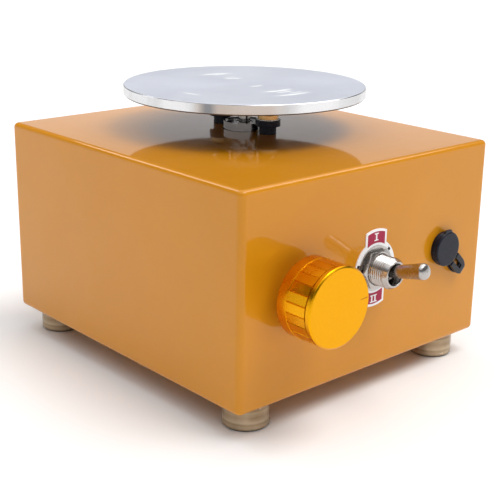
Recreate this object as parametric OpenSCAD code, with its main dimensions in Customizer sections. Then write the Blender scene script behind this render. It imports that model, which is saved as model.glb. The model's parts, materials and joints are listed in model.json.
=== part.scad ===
// Small electric pottery wheel: a turntable on a motor, carried by a folded sheet case on four feet.
// Millimetres, +Z up. The origin is the middle of the footprint of the whole object, on the table.
// The control panel is the front face, towards -Y.

/* [Case] */
// Outside width of the case, left to right
case_w = 133; // [130:1:145]
// Outside depth of the case, front to back
case_d = 147; // [144:1:160]
// Height of the case shell, from its lower edge to its top face
case_h = 81.8; // [80:0.2:90]
// Thickness of the case sheet
sheet_t = 1.5; // [1.2:0.1:1.8]
// Outside radius of the upright corners
corner_r = 2.5; // [2:0.5:4]
// Outside radius where the walls turn into the top face and into the lower flange
fold_r = 2; // [1:0.5:2]
// Width of the flange that turns inwards along the case's lower edge
flange_w = 5; // [4:0.5:6]

/* [Feet] */
// Diameter of a foot
foot_d = 17.8; // [16:0.2:20]
// Height of a foot
foot_h = 10; // [8:0.2:14]
// Distance from a side wall to the centre of a foot
foot_in_x = 13.8; // [12:0.2:20]
// Distance from the front or back wall to the centre of a foot
foot_in_y = 11.7; // [11:0.2:20]

/* [Turntable] */
// Diameter of the turntable
disc_d = 100; // [90:1:110]
// Thickness of the turntable
disc_t = 4.2; // [4:0.1:6]
// Height of the turntable's top above the case's top
disc_rise = 18.6; // [18:0.1:22]
// Wheel axis, to the right of the case's middle
wheel_x = 4; // [0:0.5:6]
// Wheel axis, behind the case's middle
wheel_back = 5; // [0:0.5:8]

/* [Motor] */
// Outside diameter of the motor can
motor_d = 42; // [40:1:44]
// Length of the motor can with its end cap
motor_l = 65; // [60:1:66]
// Diameter of the round boss that passes the case's top
boss_d = 17.5; // [17:0.1:18]
// Height of the boss above the case's top
boss_rise = 3.3; // [3:0.1:3.6]
// Diameter of the motor shaft
shaft_d = 5; // [4:0.5:6]
// Distance between the two motor screws
screw_span = 29; // [28:0.5:31]

/* [Controls] */
// Height of the three controls above the case's lower edge
control_h = 41.3; // [36:0.1:46]
// Speed knob's axis, to the left of the case's middle
knob_x = 40.4; // [36:0.2:44]
// Diameter of the speed knob
knob_d = 29.6; // [26:0.2:32]
// Distance from the panel to the knob's face
knob_face = 21.7; // [20:0.1:24]
// Number of flutes in the knob's grip
knob_flutes = 24; // [18:1:32]
// Direction of the knob's pointer at rest, above the horizontal
pointer_deg = 4; // [-60:1:90]
// Switch axis, to the right of the case's middle
switch_x = 0.8; // [0:0.2:2]
// Angle of the switch lever at rest, above the horizontal
lever_deg = 15; // [10:1:15]
// Length of the switch lever from its pivot to its tip
lever_l = 20; // [18:0.5:24]
// Power inlet's axis, to the right of the case's middle
jack_x = 40.9; // [36:0.1:44]

/* [Hidden] */
$fn = 96;

// How far a cutting tool passes its work
over = 1;
// Radius of the shallow dome at the lever's tip, whose highest point is the foremost point of all
lever_dome_r = 5;
// Spare gap between a shaft and the bore it turns in, on the radius
running_gap = 0.03;

// The lever reaches furthest in front of the panel, so the case sits back by half of that reach
pivot_out = 6;
lever_reach = pivot_out + lever_dome_r + (lever_l - lever_dome_r) * cos(lever_deg);
case_y = lever_reach / 2;
panel_y = case_y - case_d / 2;
flange_in = sheet_t + flange_w;
case_z = foot_h;
top_z = case_z + case_h;
plate_top = case_z + sheet_t;
control_z = case_z + control_h;
wheel_y = case_y + wheel_back;

// Motor, measured from the top face of the case downwards
motor_face = -sheet_t;
motor_face_t = 2.5;
can_wall = 1.2;
can_end = motor_face - motor_l + 3.5;
cap_end = motor_face - motor_l;
rear_boss_l = 4;
bearing_r = boss_d / 2 - 0.75;
bearing_t = 4.7;
front_bearing_top = boss_rise - 0.8;
seal_t = 0.3;
shaft_r = shaft_d / 2;
m4_r = 2;
m3_r = 1.5;

// Motor fixings that stand on the case
grommet_r = 3.5;
grommet_neck = 3.3;
grommet_brim_r = 5.15;
grommet_h = 5.9;
motor_washer_t = 0.3;
motor_head_r = 4.15;
motor_head_h = 2.8;

// Turntable and hub
disc_under = disc_rise - disc_t;
hub_flange_t = 2.5;
hub_flange_r = 13;
hub_r = 5.5;
hub_low = 7;
hub_screw_pcd = 18;
hub_screws_n = 4;
m3_head_r = 2.75;
m3_head_h = 2;
hex_key_r = 0.87;

// Rotor
core_r = 16.5;
core_l = 30;
core_top = -16;
core_slots = 8;
slot_w = 4;
slot_depth = 8;
winding_gap = 0.2;
winding_r = 14.5;
winding_end = 5;
commutator_r = 5;
commutator_l = 6;
commutator_top = core_top - core_l - winding_end - 1;
brush_gap = 0.3;

// Speed knob, measured outwards from the panel
knob_r = knob_d / 2;
knob_rear = 5.9;
knob_flange_end = 10.3;
knob_grip_end = 19.3;
knob_grip_in = 0.3;
knob_bevel = 1.1;
knob_bevel_l = 1.1;
knob_recess_r = 7.5;
knob_recess = 2;
knob_bore_end = 17.5;
flute_depth = 0.35;
flute_w = 0.35;
pointer_w = 0.5;
pointer_depth = 0.2;
pointer_l = 3.8;
knob_screw_z = 13;

// Potentiometer behind the knob
pot_shaft_r = 3;
pot_bushing_r = 3.5;
pot_bushing_l = 5.5;
pot_body_r = 8.5;
pot_body_l = 9;
pot_wall = 1;
pot_nut_af = 10;

// Toggle switch
bushing_r = 6;
bushing_out = 10.75;
bushing_bore_r = 4.3;
bushing_face_r = 5;
bushing_thread_end = 9.2;
switch_set_back = 3;
switch_back = sheet_t + switch_set_back;
switch_w = 16;
switch_h = 29;
switch_l = 22;
switch_cavity = 8;
label_t = 0.4;
label_r = 10.9;
label_tab_r = 15.3;
label_tab_w = 11.4;
switch_washer_r = 8.9;
switch_washer_t = 0.5;
switch_nut_af = 14;
switch_nut_t = 2;
lever_root_r = 2.2;
lever_end_r = 3.1;
lever_edge_r = 1.6;
ball_r = 3.4;
lever_inner_r = 1.5;
lever_inner_l = 8;
pin_r = 0.75;
pin_reach = 5.4;

// Power inlet and its dust cap
jack_r = 5.5;
jack_l = 12;
jack_bezel_r = 6;
jack_bezel_t = 1.2;
ring_t = 0.8;
ring_r = 6.6;
jack_front = ring_t + jack_bezel_t;
jack_bore_r = 3.15;
jack_bore_l = 10;
jack_pin_r = 1.05;
jack_pin_set_in = 1.6;
jack_nut_af = 14;
dust_r = 7.1;
dust_rear = 1.1;
dust_groove_z = 2.1;
dust_groove = 0.3;
dust_edge = 0.4;
dust_face = 3.6;
dust_skirt_r = 6.3;
dust_plug_r = 2.5;
dust_plug_bore_r = 1.5;
dust_plug_l = 1.2;
thumb_w = 4.6;
thumb_r = 8;
thumb_low = 2.4;
strap_deg = -43;
strap_w = 6.6;
strap_fold_u = 14.3;
strap_fold_r = 1.5;
strap_end_r = 2.2;
strap_slot_w = 1.4;
strap_slot_u = 7.7;
strap_slot_l = 4.9;
strap_gap_w = 4;
strap_gap_l = 6.2;

// Speed board, on the base plate behind the motor
board_w = 64;
board_d = 30;
board_t = 1.6;
board_x = -8;
board_y = case_y + 50;
standoff_h = 6;
board_z = plate_top + standoff_h;
board_hole_in = 4;
wire_r = 0.9;

// Brackets that join the base plate to the side walls
bracket_w = 12;
bracket_leg = 16;
bracket_rise = 10;
bracket_t = 1.2;
bracket_back = 38;
bracket_hole = 11;
plate_gap = 0.3;

// ---------- helpers ----------

// Ring of outer radius ro, inner radius ri and height h, standing on z
module ring(ro, ri, h, z = 0) {
    translate([0, 0, z]) difference() {
        cylinder(r = ro, h = h);
        translate([0, 0, -over]) cylinder(r = ri, h = h + 2 * over);
    }
}

// Hexagon nut of width af across its flats
module hex_nut(af, bore, h, z = 0) {
    translate([0, 0, z]) difference() {
        cylinder(r = af / sqrt(3), h = h, $fn = 6);
        translate([0, 0, -over]) cylinder(r = bore, h = h + 2 * over);
    }
}

// Pan head screw with a cross recess: its head's seat is at z = 0 and the head points up
module pan_screw(r, l, head_r, head_h) {
    recess_l = head_r * 1.1;
    recess_w = head_r * 0.28;
    difference() {
        union() {
            translate([0, 0, -l]) cylinder(r = r, h = l + head_h / 2);
            cylinder(r = head_r, h = head_h * 0.6);
            translate([0, 0, head_h * 0.6]) cylinder(r1 = head_r, r2 = head_r * 0.72, h = head_h * 0.4);
        }
        for (a = [0, 90])
            rotate([0, 0, a])
                translate([-recess_l / 2, -recess_w / 2, head_h * 0.5])
                    cube([recess_l, recess_w, head_h]);
    }
}

// Places its children on the control panel: x to the right, y up, z out of the panel
module at_panel(x) {
    translate([x, panel_y, control_z]) rotate([90, 0, 0]) children();
}

// Places its children on the wheel axis, with z = 0 on the case's top face
module at_wheel() {
    translate([wheel_x, wheel_y, top_z]) children();
}

// Repeats its children at the two motor screws
module at_motor_screws() {
    at_wheel() for (s = [-1, 1]) translate([0, s * screw_span / 2, 0]) children();
}

// Repeats its children at the four corners of a rectangle of half sizes dx and dy
module at_corners(dx, dy) {
    for (sx = [-1, 1]) for (sy = [-1, 1]) translate([sx * dx, sy * dy, 0]) children();
}

// Outline with round corners
module round_rect(w, d, r) {
    square([w - 2 * r, d], center = true);
    square([w, d - 2 * r], center = true);
    for (sx = [-1, 1]) for (sy = [-1, 1])
        translate([sx * (w / 2 - r), sy * (d / 2 - r)]) circle(r = r);
}

// Point at t, from 0 to 1, on the curve with end points p[0] and p[3]
function bezier(p, t) =
    pow(1 - t, 3) * p[0] + 3 * t * pow(1 - t, 2) * p[1] + 3 * t * t * (1 - t) * p[2] + pow(t, 3) * p[3];
function unit(v) = v / norm(v);

// Round wire of radius r along that curve
module wire(p, r = wire_r, rings = 24, sides = 8) {
    path = [for (i = [0:rings]) bezier(p, i / rings)];
    way = [for (i = [0:rings]) unit(path[min(i + 1, rings)] - path[max(i - 1, 0)])];
    side = unit(cross(way[0], way[rings] + [0.31, 0.17, 0.93]));
    across = [for (i = [0:rings]) unit(side - (side * way[i]) * way[i])];
    points = [for (i = [0:rings]) for (k = [0:sides - 1])
        path[i] + r * (cos(360 * k / sides) * across[i] + sin(360 * k / sides) * cross(way[i], across[i]))];
    walls = [for (i = [0:rings - 1]) for (k = [0:sides - 1])
        [(i + 1) * sides + k, (i + 1) * sides + (k + 1) % sides, i * sides + (k + 1) % sides, i * sides + k]];
    start = [for (k = [0:sides - 1]) k];
    finish = [for (k = [0:sides - 1]) rings * sides + sides - 1 - k];
    polyhedron(points = points, faces = concat(walls, [start, finish]), convexity = 4);
}

// ---------- case ----------

// Outside form of the case: straight walls, round upright corners and round upper and lower edges
module case_form() {
    long_w = case_w - 2 * corner_r;
    long_d = case_d - 2 * corner_r;
    translate([0, long_d / 2, case_h / 2]) rotate([90, 0, 0])
        linear_extrude(long_d) round_rect(case_w, case_h, fold_r);
    translate([-long_w / 2, 0, case_h / 2]) rotate([90, 0, 90])
        linear_extrude(long_w) round_rect(case_d, case_h, fold_r);
    at_corners(long_w / 2, long_d / 2) rotate_extrude() {
        translate([0, fold_r]) square([corner_r, case_h - 2 * fold_r]);
        square([corner_r - fold_r, case_h]);
        translate([corner_r - fold_r, case_h - fold_r]) intersection() {
            circle(r = fold_r);
            square(fold_r);
        }
        translate([corner_r - fold_r, fold_r]) intersection() {
            circle(r = fold_r);
            translate([0, -fold_r]) square(fold_r);
        }
    }
}

module case_shell() {
    inner_r = corner_r - sheet_t;
    color("goldenrod") difference() {
        translate([0, case_y, case_z]) case_form();
        translate([0, case_y, case_z + sheet_t]) linear_extrude(case_h - 2 * sheet_t)
            round_rect(case_w - 2 * sheet_t, case_d - 2 * sheet_t, inner_r);
        translate([0, case_y, case_z - over]) linear_extrude(sheet_t + 2 * over)
            round_rect(case_w - 2 * flange_in, case_d - 2 * flange_in, inner_r);
        at_wheel() translate([0, 0, -5]) cylinder(r = boss_d / 2 + 0.5, h = 10);
        at_motor_screws() translate([0, 0, -5]) cylinder(r = m4_r + 0.25, h = 10);
        at_panel(-knob_x) translate([0, 0, -5]) cylinder(r = pot_bushing_r, h = 10);
        at_panel(switch_x) translate([0, 0, -5]) cylinder(r = bushing_r, h = 10);
        at_panel(jack_x) translate([0, 0, -5]) cylinder(r = jack_r, h = 10);
    }
}

foot_dx = case_w / 2 - foot_in_x;
foot_dy = case_d / 2 - foot_in_y;
bracket_x = case_w / 2 - sheet_t;
bracket_hole_x = bracket_x - bracket_hole;

module base_plate() {
    color("goldenrod") difference() {
        translate([0, case_y, case_z]) linear_extrude(sheet_t)
            round_rect(case_w - 2 * (flange_in + plate_gap), case_d - 2 * (flange_in + plate_gap), 1);
        translate([0, case_y, case_z - over]) {
            at_corners(foot_dx, foot_dy) cylinder(r = m4_r, h = sheet_t + 2 * over);
            at_corners(bracket_hole_x, bracket_back) cylinder(r = m3_r, h = sheet_t + 2 * over);
            translate([0, -case_y, 0]) at_board_holes() cylinder(r = m3_r, h = sheet_t + 2 * over);
        }
    }
}

// Folded angle: its upright leg lies on the right-hand wall, its other leg on the flange and the plate
module bracket() {
    difference() {
        union() {
            translate([bracket_x - bracket_t, -bracket_w / 2, 0]) cube([bracket_t, bracket_w, bracket_rise]);
            translate([bracket_x - bracket_leg, -bracket_w / 2, 0]) cube([bracket_leg, bracket_w, bracket_t]);
        }
        translate([bracket_hole_x, 0, -over]) cylinder(r = m3_r, h = bracket_t + 2 * over);
    }
}

module plate_brackets() {
    color("silver") translate([0, case_y, plate_top])
        for (sy = [-1, 1]) translate([0, sy * bracket_back, 0]) {
            bracket();
            mirror([1, 0, 0]) bracket();
        }
}

// Four hold the brackets and four hold the speed board's posts
module plate_screws() {
    color("dimgray") translate([0, case_y, case_z]) {
        at_corners(bracket_hole_x, bracket_back) plate_screw();
        translate([0, -case_y, 0]) at_board_holes() plate_screw();
    }
}
module plate_screw() { mirror([0, 0, 1]) pan_screw(m3_r, 5, m3_head_r, m3_head_h); }

// ---------- feet ----------

module foot(sx, sy) {
    edge = 0.6;
    bore = 4.6;
    bore_h = 6;
    r = foot_d / 2;
    color("dimgray") translate([sx * foot_dx, case_y + sy * foot_dy, 0]) rotate_extrude()
        polygon([[bore, 0], [r - edge, 0], [r, edge], [r, foot_h], [m4_r, foot_h], [m4_r, bore_h], [bore, bore_h]]);
}
module foot_front_left() { foot(-1, -1); }
module foot_front_right() { foot(1, -1); }
module foot_back_left() { foot(-1, 1); }
module foot_back_right() { foot(1, 1); }

module foot_screws() {
    color("silver") translate([0, case_y, 6]) at_corners(foot_dx, foot_dy)
        mirror([0, 0, 1]) pan_screw(m4_r, 10.5, 3.8, 2.6);
}

module foot_nuts() {
    color("silver") translate([0, case_y, plate_top]) at_corners(foot_dx, foot_dy) hex_nut(7, m4_r, 3.2);
}

// ---------- motor ----------

module motor_can() {
    r = motor_d / 2;
    color("silver") difference() {
        at_wheel() rotate_extrude() {
            translate([r - can_wall, can_end]) square([can_wall, motor_face - can_end]);
            translate([4, motor_face - motor_face_t]) square([r - 4, motor_face_t]);
            translate([bearing_r, motor_face - 1]) square([boss_d / 2 - bearing_r, boss_rise - motor_face + 1]);
        }
        at_wheel() translate([0, 0, front_bearing_top - bearing_t]) cylinder(r = bearing_r, h = 10);
        at_motor_screws() translate([0, 0, -6]) cylinder(r = m4_r, h = 8);
    }
}

module motor_end_cap() {
    r = motor_d / 2;
    spigot = 3;
    color("black") at_wheel() difference() {
        union() {
            translate([0, 0, cap_end]) cylinder(r = r, h = can_end - cap_end);
            translate([0, 0, can_end]) cylinder(r = r - can_wall, h = spigot);
            translate([0, 0, cap_end - rear_boss_l]) cylinder(r = boss_d / 2, h = rear_boss_l);
        }
        translate([0, 0, cap_end - rear_boss_l - over]) cylinder(r = shaft_r + 1.5, h = 20);
        translate([0, 0, cap_end - rear_boss_l + 0.5]) cylinder(r = bearing_r, h = bearing_t);
        translate([0, 0, can_end]) cylinder(r = r - can_wall - 2, h = spigot + over);
        for (s = [-1, 1]) translate([s * 13 - 0.4, -3, cap_end - over]) cube([0.8, 6, 8]);
    }
}

module motor_magnets() {
    outer = motor_d / 2 - can_wall;
    color("dimgray") at_wheel() difference() {
        ring(outer, core_r + 0.7, core_l, core_top - core_l);
        translate([-5, -30, core_top - core_l - over]) cube([10, 60, core_l + 2 * over]);
    }
}

module motor_brushes() {
    size = 4.5;
    color("dimgray") at_wheel() for (a = [0, 180]) rotate([0, 0, a])
        translate([commutator_r + brush_gap, -size / 2, commutator_top - commutator_l + 0.5]) cube([9, size, 5]);
}

module motor_terminals() {
    color("gold") at_wheel() for (s = [-1, 1]) translate([s * 13 - 0.4, -3, cap_end - 5]) cube([0.8, 6, 10]);
}

module front_bearing() {
    color("silver") at_wheel() ring(bearing_r, shaft_r + running_gap, bearing_t, front_bearing_top - bearing_t);
}

module bearing_seal() {
    color("black") at_wheel() ring(bearing_r - 0.8, shaft_r + 1, seal_t, front_bearing_top);
}

module rear_bearing() {
    color("silver") at_wheel() ring(bearing_r, shaft_r + running_gap, bearing_t, cap_end - rear_boss_l + 0.5);
}

module motor_grommets() {
    color("black") at_motor_screws() rotate_extrude() {
        translate([m4_r, 0]) square([grommet_r - m4_r, grommet_neck]);
        translate([m4_r, grommet_neck]) square([grommet_brim_r - m4_r, grommet_h - grommet_neck]);
    }
}

module motor_washers() {
    color("silver") at_motor_screws() ring(grommet_brim_r - 0.45, m4_r, motor_washer_t, grommet_h);
}

module motor_screws() {
    seat = grommet_h + motor_washer_t;
    color("peru") at_motor_screws() translate([0, 0, seat])
        pan_screw(m4_r, seat - motor_face + motor_face_t - 0.1, motor_head_r, motor_head_h);
}

// ---------- rotor and turntable ----------

module motor_shaft() {
    low = cap_end - rear_boss_l + 1;
    color("silver") at_wheel() translate([0, 0, low]) cylinder(r = shaft_r, h = disc_under - 0.4 - low);
}

// Plan of the slots in the laminated core, made smaller by gap all round
module slot_plan(gap) {
    for (i = [0:core_slots - 1]) rotate([0, 0, 360 * i / core_slots])
        translate([core_r - slot_depth + gap, -slot_w / 2 + gap])
            square([slot_depth - 2 * gap, slot_w - 2 * gap]);
}

module rotor_core() {
    color("gray") at_wheel() translate([0, 0, core_top - core_l]) linear_extrude(core_l) difference() {
        circle(r = core_r);
        slot_plan(0);
        circle(r = shaft_r);
        for (i = [0:core_slots - 1]) rotate([0, 0, 360 * i / core_slots])
            translate([core_r - 2, -0.8]) square([4, 1.6]);
    }
}

module rotor_windings() {
    color("peru") at_wheel() {
        translate([0, 0, core_top - core_l - 0.5]) linear_extrude(core_l + 1) slot_plan(winding_gap);
        for (z = [core_top + 0.4, core_top - core_l - 0.4 - winding_end])
            ring(winding_r, shaft_r + 1.5, winding_end, z);
    }
}

module commutator() {
    color("peru") at_wheel() difference() {
        ring(commutator_r, shaft_r, commutator_l, commutator_top - commutator_l);
        for (i = [0:core_slots - 1]) rotate([0, 0, 360 * i / core_slots])
            translate([commutator_r - 0.8, -0.2, commutator_top - commutator_l - over])
                cube([2, 0.4, commutator_l + 2 * over]);
    }
}

module turntable_disc() {
    r = disc_d / 2;
    top_edge = 0.3;
    low_edge = 0.5;
    color("gainsboro") at_wheel() difference() {
        rotate_extrude() polygon([
            [0, disc_under], [r - low_edge, disc_under], [r, disc_under + low_edge],
            [r, disc_rise - top_edge], [r - top_edge, disc_rise], [0, disc_rise]]);
        for (i = [0:hub_screws_n - 1]) rotate([0, 0, 45 + 360 * i / hub_screws_n])
            translate([hub_screw_pcd / 2, 0, disc_under - over]) cylinder(r = m3_r, h = over + 3);
    }
}

module turntable_hub() {
    screw_z = (hub_low + disc_under - hub_flange_t) / 2;
    color("silver") at_wheel() difference() {
        union() {
            translate([0, 0, hub_low]) cylinder(r = hub_r, h = disc_under - hub_low);
            translate([0, 0, disc_under - hub_flange_t]) cylinder(r = hub_flange_r, h = hub_flange_t);
        }
        translate([0, 0, hub_low - over]) cylinder(r = shaft_r, h = disc_under);
        for (i = [0:hub_screws_n - 1]) rotate([0, 0, 45 + 360 * i / hub_screws_n])
            translate([hub_screw_pcd / 2, 0, disc_under - hub_flange_t - over])
                cylinder(r = m3_r, h = hub_flange_t + 2 * over);
        translate([0, 0, screw_z]) rotate([0, 90, 0]) cylinder(r = m3_r, h = hub_r + over);
    }
}

module hub_screws() {
    color("dimgray") at_wheel() for (i = [0:hub_screws_n - 1]) rotate([0, 0, 45 + 360 * i / hub_screws_n])
        translate([hub_screw_pcd / 2, 0, disc_under - hub_flange_t])
            mirror([0, 0, 1]) pan_screw(m3_r, hub_flange_t + 2.8, m3_head_r, m3_head_h);
}

module hub_set_screw() {
    screw_z = (hub_low + disc_under - hub_flange_t) / 2;
    color("dimgray") at_wheel() translate([0, 0, screw_z]) rotate([0, 90, 0]) difference() {
        translate([0, 0, shaft_r + 0.1]) cylinder(r = m3_r, h = hub_r - shaft_r - 0.4);
        translate([0, 0, hub_r - 1.5]) cylinder(r = hex_key_r, h = 3, $fn = 6);
    }
}

// ---------- speed knob and potentiometer ----------

// Plan of the grip: as many flats as flutes, with a narrow flute at each corner
module grip_plan(r) {
    difference() {
        rotate([0, 0, pointer_deg]) circle(r = r, $fn = knob_flutes);
        for (i = [0:knob_flutes - 1]) rotate([0, 0, pointer_deg + 360 * i / knob_flutes])
            translate([r - flute_depth, -flute_w / 2]) square([flute_depth + over, flute_w]);
    }
}

// Places its children at the set screw's axis, which points down from the middle of a flat
module at_knob_screw() {
    rotate([0, 0, pointer_deg - 180 / knob_flutes]) translate([0, 0, knob_screw_z]) rotate([90, 0, 0]) children();
}

module knob() {
    tip = knob_r - knob_bevel;
    grip_r = knob_r - knob_grip_in;
    color("orange") at_panel(-knob_x) difference() {
        union() {
            translate([0, 0, knob_rear]) cylinder(r = knob_r, h = knob_flange_end - knob_rear);
            translate([0, 0, knob_flange_end - 0.5])
                linear_extrude(knob_grip_end - knob_flange_end + 1) grip_plan(grip_r);
            translate([0, 0, knob_grip_end]) cylinder(r = knob_r, h = knob_face - knob_bevel_l - knob_grip_end);
            translate([0, 0, knob_face - knob_bevel_l]) cylinder(r1 = knob_r, r2 = tip, h = knob_bevel_l);
        }
        translate([0, 0, knob_rear - over]) cylinder(r = knob_recess_r, h = knob_recess + over);
        translate([0, 0, knob_rear]) cylinder(r = pot_shaft_r, h = knob_bore_end - knob_rear);
        rotate([0, 0, pointer_deg]) translate([tip - pointer_l, -pointer_w / 2, knob_face - pointer_depth])
            cube([pointer_l + 2, pointer_w, 2]);
        at_knob_screw() cylinder(r = m3_r, h = knob_r + over);
    }
}

module knob_set_screw() {
    color("dimgray") at_panel(-knob_x) at_knob_screw() difference() {
        translate([0, 0, pot_shaft_r + 0.2]) cylinder(r = m3_r, h = 8);
        translate([0, 0, pot_shaft_r + 6]) cylinder(r = hex_key_r, h = 4, $fn = 6);
    }
}

module pot_shaft() {
    low = -sheet_t - pot_body_l + 2;
    color("silver") at_panel(-knob_x) {
        translate([0, 0, low]) cylinder(r = pot_shaft_r, h = knob_bore_end - low);
        translate([0, 0, low + 1]) cylinder(r = pot_body_r - pot_wall - 1, h = 1.5);
    }
}

module pot_body() {
    wafer_w = 14;
    wafer_h = 5;
    wafer_t = 2;
    color("silver") at_panel(-knob_x) difference() {
        union() {
            translate([0, 0, -sheet_t - pot_body_l]) cylinder(r = pot_body_r, h = pot_body_l);
            translate([-wafer_w / 2, -pot_body_r - 3, -sheet_t - 4]) cube([wafer_w, wafer_h, wafer_t]);
        }
        translate([0, 0, -sheet_t - pot_body_l + pot_wall])
            cylinder(r = pot_body_r - pot_wall, h = pot_body_l - 2 * pot_wall);
        translate([0, 0, -sheet_t - 2 * pot_wall]) cylinder(r = pot_bushing_r, h = 5);
    }
}

module pot_bushing() {
    color("silver") at_panel(-knob_x)
        ring(pot_bushing_r, pot_shaft_r + 0.05, pot_bushing_l + sheet_t + pot_wall, -sheet_t - pot_wall);
}

module pot_nut() {
    color("silver") at_panel(-knob_x) hex_nut(pot_nut_af, pot_bushing_r, 2);
}

module pot_terminals() {
    color("gold") at_panel(-knob_x) for (i = [-1:1])
        translate([i * 5 - 0.8, -pot_body_r - 9, -sheet_t - 3.3]) cube([1.6, 6, 0.6]);
}

// ---------- toggle switch ----------

// Half outline of the lever: a cone whose tip is a shallow dome with a rounded edge
module lever_outline() {
    edge_x = lever_end_r - lever_edge_r;
    dome_z = lever_l - lever_dome_r;
    edge_z = dome_z + sqrt(pow(lever_dome_r - lever_edge_r, 2) - edge_x * edge_x);
    polygon([[0, 0], [lever_root_r, 0], [lever_end_r, edge_z], [edge_x, edge_z], [0, dome_z]]);
    translate([edge_x, edge_z]) intersection() {
        circle(r = lever_edge_r);
        square(lever_edge_r);
    }
    intersection() {
        translate([0, dome_z]) circle(r = lever_dome_r);
        polygon([[0, dome_z], [3 * edge_x, dome_z + 3 * (edge_z - dome_z)], [0, lever_l + over]]);
    }
}

module toggle_lever() {
    color("silver") at_panel(switch_x) translate([0, 0, pivot_out]) rotate([-lever_deg, 0, 0]) difference() {
        union() {
            sphere(r = ball_r);
            rotate_extrude() lever_outline();
            translate([0, 0, -lever_inner_l]) cylinder(r = lever_inner_r, h = lever_inner_l + 1);
        }
        translate([-5, 0, 0]) rotate([0, 90, 0]) cylinder(r = pin_r + running_gap, h = 10);
    }
}

module switch_pivot_pin() {
    color("silver") at_panel(switch_x) pivot_bar();
}

// Round bar through the bushing at the lever's pivot
module pivot_bar() {
    translate([-pin_reach, 0, pivot_out]) rotate([0, 90, 0]) cylinder(r = pin_r, h = 2 * pin_reach);
}

module switch_bushing() {
    color("silver") at_panel(switch_x) difference() {
        rotate_extrude() polygon([
            [bushing_bore_r, -switch_back], [bushing_r, -switch_back],
            [bushing_r, bushing_thread_end], [bushing_face_r, bushing_out], [bushing_bore_r, bushing_out]]);
        pivot_bar();
    }
}

module switch_body() {
    color("maroon") at_panel(switch_x) difference() {
        translate([-switch_w / 2, -switch_h / 2, -switch_back - switch_l]) cube([switch_w, switch_h, switch_l]);
        translate([0, 0, -switch_back - switch_cavity]) cylinder(r = bushing_bore_r, h = switch_cavity + over);
    }
}

module switch_back_nut() {
    color("silver") at_panel(switch_x) hex_nut(switch_nut_af, bushing_r, 2, -sheet_t - 2);
}

module switch_washer() {
    color("silver") at_panel(switch_x) ring(switch_washer_r, bushing_r, switch_washer_t, label_t);
}

module switch_nut() {
    color("silver") at_panel(switch_x) hex_nut(switch_nut_af, bushing_r, switch_nut_t, label_t + switch_washer_t);
}

// Thin plate round the bushing, with a tab above and a tab below for the two positions
module switch_label() {
    color("white") at_panel(switch_x) linear_extrude(label_t) difference() {
        union() {
            circle(r = label_r);
            intersection() {
                circle(r = label_tab_r);
                square([label_tab_w, 2 * label_tab_r + over], center = true);
            }
        }
        circle(r = bushing_r);
    }
}

module switch_terminals() {
    color("gold") at_panel(switch_x) for (i = [-1:1])
        translate([-3, i * 9 - 0.4, -switch_back - switch_l - 8]) cube([6, 0.8, 8]);
}

// ---------- power inlet and dust cap ----------

module jack_body() {
    color("dimgray") at_panel(jack_x) difference() {
        union() {
            translate([0, 0, -jack_l]) cylinder(r = jack_r, h = jack_l + ring_t + 0.5);
            translate([0, 0, ring_t]) cylinder(r = jack_bezel_r, h = jack_bezel_t);
        }
        translate([0, 0, jack_front - jack_bore_l]) cylinder(r = jack_bore_r, h = jack_bore_l + over);
    }
}

module jack_pin() {
    color("silver") at_panel(jack_x) translate([0, 0, jack_front - jack_bore_l]) {
        cylinder(r = jack_pin_r, h = jack_bore_l - jack_pin_set_in - jack_pin_r);
        translate([0, 0, jack_bore_l - jack_pin_set_in - jack_pin_r]) sphere(r = jack_pin_r);
    }
}

module jack_nut() {
    color("silver") at_panel(jack_x) hex_nut(jack_nut_af, jack_r, 2, -sheet_t - 2);
}

module jack_terminals() {
    color("gold") at_panel(jack_x) for (s = [-1, 1])
        translate([s * 3 - 1, -0.4, -jack_l - 5]) cube([2, 0.8, 5]);
}

module cap_ring() {
    color("black") at_panel(jack_x) ring(ring_r, jack_r, ring_t);
}

// Slotted rubber strip that leaves the ring, folds back on itself and holds the cap
module cap_strap() {
    fold_z = strap_fold_r;
    thin = ring_t;
    end_u = strap_fold_u + strap_fold_r;
    color("black") at_panel(jack_x) rotate([0, 0, strap_deg]) difference() {
        intersection() {
            translate([0, strap_w / 2, 0]) rotate([90, 0, 0]) linear_extrude(strap_w) {
                translate([4, 0]) square([strap_fold_u - 4, thin]);
                translate([6, 2 * fold_z - thin]) square([strap_fold_u - 6, thin]);
                translate([strap_fold_u, fold_z]) difference() {
                    circle(r = strap_fold_r);
                    circle(r = strap_fold_r - thin);
                    translate([-2 * strap_fold_r, -strap_fold_r]) square([2 * strap_fold_r, 2 * strap_fold_r]);
                }
            }
            translate([end_u / 2, 0, -over]) linear_extrude(6) round_rect(end_u, strap_w, strap_end_r);
        }
        translate([0, 0, -over]) cylinder(r = ring_r, h = over + fold_z);
        translate([0, 0, fold_z]) cylinder(r = dust_r, h = 3);
        translate([strap_slot_u, -strap_slot_w / 2, fold_z]) cube([strap_slot_l, strap_slot_w, 3]);
        translate([strap_slot_u, -strap_gap_w / 2, -over]) cube([strap_gap_l, strap_gap_w, over + fold_z]);
    }
}

module dust_cap() {
    neck_r = dust_r - dust_groove;
    color("black") at_panel(jack_x) difference() {
        union() {
            rotate_extrude() polygon([
                [0, dust_rear], [dust_r, dust_rear], [dust_r, dust_groove_z], [neck_r, dust_groove_z],
                [neck_r, dust_groove_z + dust_groove], [dust_r, dust_groove_z + dust_groove],
                [dust_r, dust_face - dust_edge], [dust_r - dust_edge, dust_face], [0, dust_face]]);
            translate([-thumb_w / 2, 0, thumb_low]) cube([thumb_w, thumb_r, dust_face - dust_edge - thumb_low]);
        }
        difference() {
            translate([0, 0, dust_rear - over]) cylinder(r = dust_skirt_r, h = jack_front + 0.1 - dust_rear + over);
            translate([0, 0, jack_front - dust_plug_l]) ring(dust_plug_r, dust_plug_bore_r, 3);
        }
    }
}

// ---------- speed board ----------

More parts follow.
